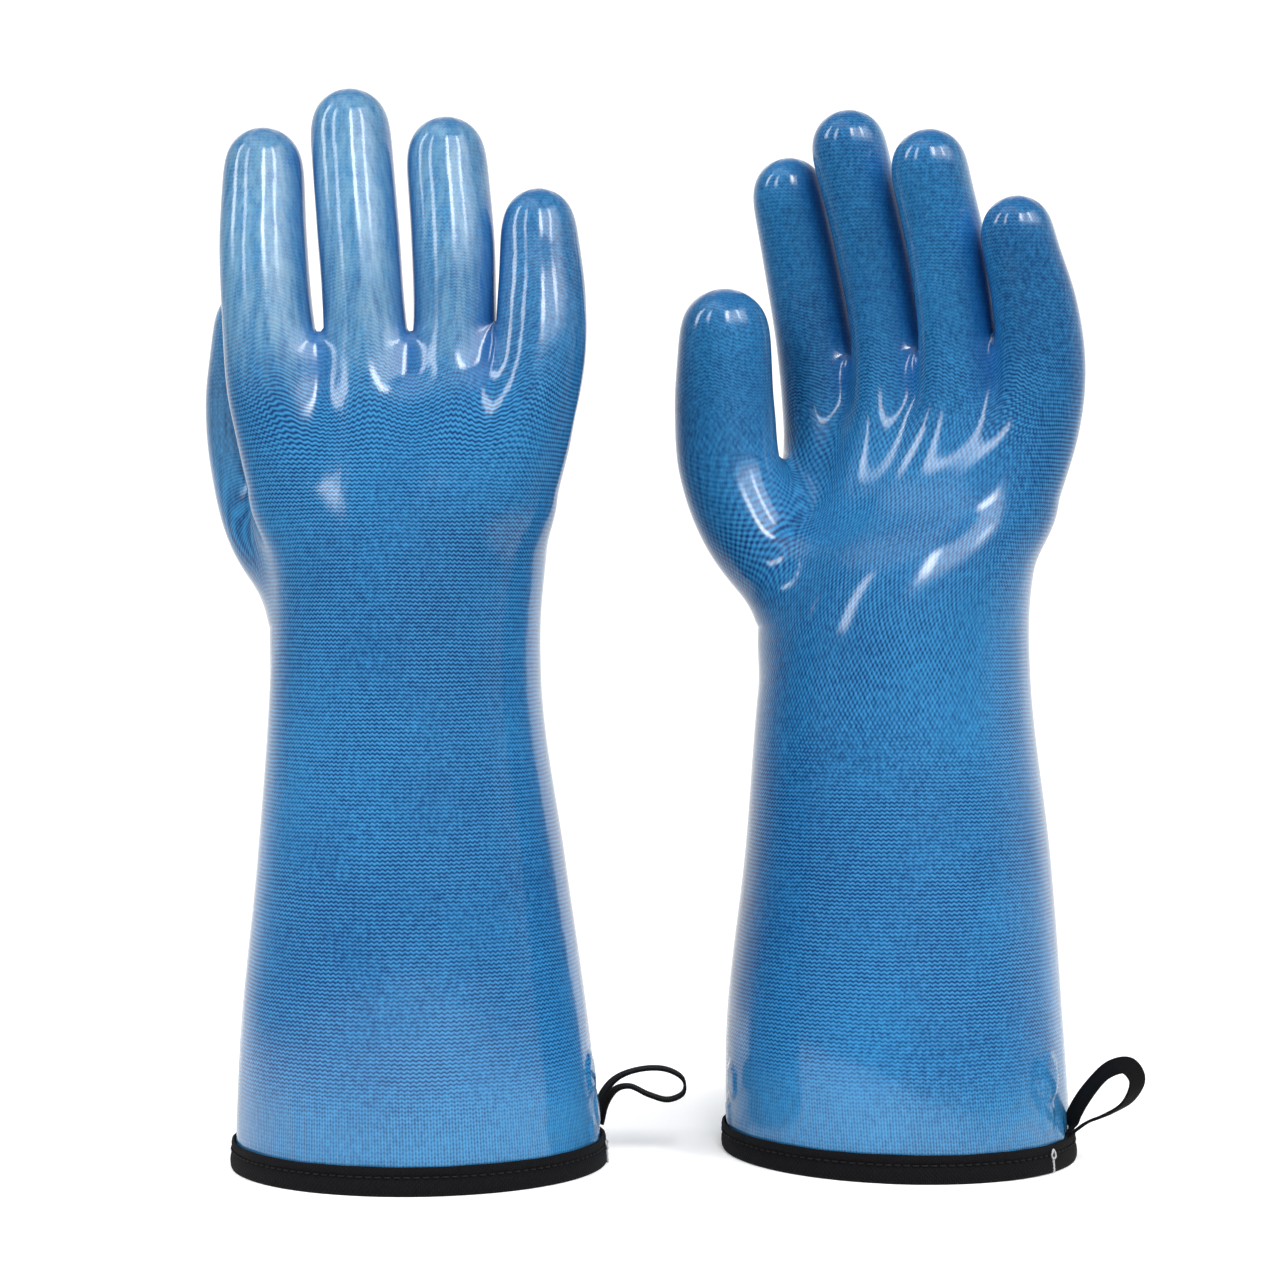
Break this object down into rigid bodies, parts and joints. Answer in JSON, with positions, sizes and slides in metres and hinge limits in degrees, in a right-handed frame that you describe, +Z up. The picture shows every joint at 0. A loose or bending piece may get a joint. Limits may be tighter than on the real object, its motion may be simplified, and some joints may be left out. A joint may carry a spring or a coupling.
{
  "type": "cryogenic gloves",
  "caption": "Long insulated gloves with five fingers each, silicone-coated knit shell, thermal lining, bound cuff edge and hang loop, standing on their cuffs.",
  "frame": {"origin": "on the ground between the two gloves, at the bottom centre of the pair's box", "axes": "+Z up along the gloves, -Y towards the viewer, +X to the viewer's right"},
  "size_m": [0.3338, 0.1502, 0.3803],
  "materials": {
    "shell_knit": "clear glossy silicone over fine blue knit",
    "lining_fleece": "matt brushed thermal lining",
    "black_tape": "matt woven tape",
    "black_thread": "satin sewing thread",
    "grey_thread": "satin sewing thread"
  },
  "bodies": {
    "right_cuff": {"right_cuff_shell": "shell_knit", "right_cuff_lining": "lining_fleece", "right_cuff_binding": "black_tape", "right_binding_stitch": "black_thread", "right_binding_bar_tack": "grey_thread", "right_wrist_crease": "shell_knit"},
    "right_hand": {"right_hand_shell": "shell_knit", "right_hand_lining": "lining_fleece", "right_thumb_crease": "shell_knit", "right_index_crease": "shell_knit", "right_middle_crease": "shell_knit", "right_ring_crease": "shell_knit", "right_little_crease": "shell_knit"},
    "right_loop": {"right_hang_loop": "black_tape"},
    "right_thumb": {"right_thumb_shell": "shell_knit", "right_thumb_lining": "lining_fleece"},
    "right_index": {"right_index_shell": "shell_knit", "right_index_lining": "lining_fleece"},
    "right_middle": {"right_middle_shell": "shell_knit", "right_middle_lining": "lining_fleece"},
    "right_ring": {"right_ring_shell": "shell_knit", "right_ring_lining": "lining_fleece"},
    "right_little": {"right_little_shell": "shell_knit", "right_little_lining": "lining_fleece"},
    "left_cuff": {"left_cuff_shell": "shell_knit", "left_cuff_lining": "lining_fleece", "left_cuff_binding": "black_tape", "left_binding_stitch": "black_thread", "left_binding_bar_tack": "grey_thread", "left_wrist_crease": "shell_knit"},
    "left_hand": {"left_hand_shell": "shell_knit", "left_hand_lining": "lining_fleece", "left_thumb_crease": "shell_knit", "left_index_crease": "shell_knit", "left_middle_crease": "shell_knit", "left_ring_crease": "shell_knit", "left_little_crease": "shell_knit"},
    "left_loop": {"left_hang_loop": "black_tape"},
    "left_thumb": {"left_thumb_shell": "shell_knit", "left_thumb_lining": "lining_fleece"},
    "left_index": {"left_index_shell": "shell_knit", "left_index_lining": "lining_fleece"},
    "left_middle": {"left_middle_shell": "shell_knit", "left_middle_lining": "lining_fleece"},
    "left_ring": {"left_ring_shell": "shell_knit", "left_ring_lining": "lining_fleece"},
    "left_little": {"left_little_shell": "shell_knit", "left_little_lining": "lining_fleece"}
  },
  "joints": [
    {"name": "right_wrist_bend", "type": "hinge", "parent": "right_cuff", "child": "right_hand", "pos_m": [-0.09158, -0.0173, 0.179], "axis": [-0.9962, -0.0872, 0], "range_deg": [-20, 20], "stiffness_Nm_per_rad": 5, "deforming": ["right_wrist_crease"]},
    {"name": "right_thumb_bend", "type": "hinge", "parent": "right_hand", "child": "right_thumb", "pos_m": [-0.14809, 0.01289, 0.274], "axis": [0.2169, 0.9762, 0], "range_deg": [-10, 40], "stiffness_Nm_per_rad": 0.3, "deforming": ["right_thumb_crease"]},
    {"name": "right_index_bend", "type": "hinge", "parent": "right_hand", "child": "right_index", "pos_m": [-0.1405, -0.02568, 0.32], "axis": [-0.9945, 0.1045, 0], "range_deg": [-10, 50], "stiffness_Nm_per_rad": 0.3, "deforming": ["right_index_crease"]},
    {"name": "right_middle_bend", "type": "hinge", "parent": "right_hand", "child": "right_middle", "pos_m": [-0.10708, -0.02626, 0.322], "axis": [-0.9945, 0.1045, 0], "range_deg": [-10, 50], "stiffness_Nm_per_rad": 0.3, "deforming": ["right_middle_crease"]},
    {"name": "right_ring_bend", "type": "hinge", "parent": "right_hand", "child": "right_ring", "pos_m": [-0.07427, -0.02693, 0.319], "axis": [-0.9945, 0.1045, 0], "range_deg": [-10, 50], "stiffness_Nm_per_rad": 0.3, "deforming": ["right_ring_crease"]},
    {"name": "right_little_bend", "type": "hinge", "parent": "right_hand", "child": "right_little", "pos_m": [-0.04318, -0.0355, 0.305], "axis": [-0.9945, 0.1045, 0], "range_deg": [-10, 50], "stiffness_Nm_per_rad": 0.3, "deforming": ["right_little_crease"]},
    {"name": "right_loop_swing", "type": "hinge", "parent": "right_cuff", "child": "right_loop", "pos_m": [-0.02421, 0.00319, 0.0109], "axis": [-0.2588, 0.9659, 0], "range_deg": [-8, 30], "stiffness_Nm_per_rad": 0.02},
    {"name": "left_glove_lift", "type": "slide", "parent": "right_cuff", "child": "left_cuff", "axis": [0, 0, 1], "range_m": [0, 0.2]},
    {"name": "left_wrist_bend", "type": "hinge", "parent": "left_cuff", "child": "left_hand", "pos_m": [0.08422, 0.01624, 0.179], "axis": [0.6691, -0.7431, 0], "range_deg": [-20, 20], "stiffness_Nm_per_rad": 5, "deforming": ["left_wrist_crease"]},
    {"name": "left_thumb_bend", "type": "hinge", "parent": "left_hand", "child": "left_thumb", "pos_m": [0.0223, 0.0327, 0.274], "axis": [0.5072, 0.8619, 0], "range_deg": [-10, 40], "stiffness_Nm_per_rad": 0.3, "deforming": ["left_thumb_crease"]},
    {"name": "left_index_bend", "type": "hinge", "parent": "left_hand", "child": "left_index", "pos_m": [0.05416, 0.05573, 0.32], "axis": [0.7986, -0.6018, 0], "range_deg": [-10, 50], "stiffness_Nm_per_rad": 0.3, "deforming": ["left_index_crease"]},
    {"name": "left_middle_bend", "type": "hinge", "parent": "left_hand", "child": "left_middle", "pos_m": [0.079, 0.03336, 0.322], "axis": [0.7986, -0.6018, 0], "range_deg": [-10, 50], "stiffness_Nm_per_rad": 0.3, "deforming": ["left_middle_crease"]},
    {"name": "left_ring_bend", "type": "hinge", "parent": "left_hand", "child": "left_ring", "pos_m": [0.10346, 0.01148, 0.319], "axis": [0.7986, -0.6018, 0], "range_deg": [-10, 50], "stiffness_Nm_per_rad": 0.3, "deforming": ["left_ring_crease"]},
    {"name": "left_little_bend", "type": "hinge", "parent": "left_hand", "child": "left_little", "pos_m": [0.13203, -0.00346, 0.305], "axis": [0.7986, -0.6018, 0], "range_deg": [-10, 50], "stiffness_Nm_per_rad": 0.3, "deforming": ["left_little_crease"]},
    {"name": "left_loop_swing", "type": "hinge", "parent": "left_cuff", "child": "left_loop", "pos_m": [0.14342, -0.01558, 0.0109], "axis": [0.3746, 0.9272, 0], "range_deg": [-8, 30], "stiffness_Nm_per_rad": 0.02}
  ]
}
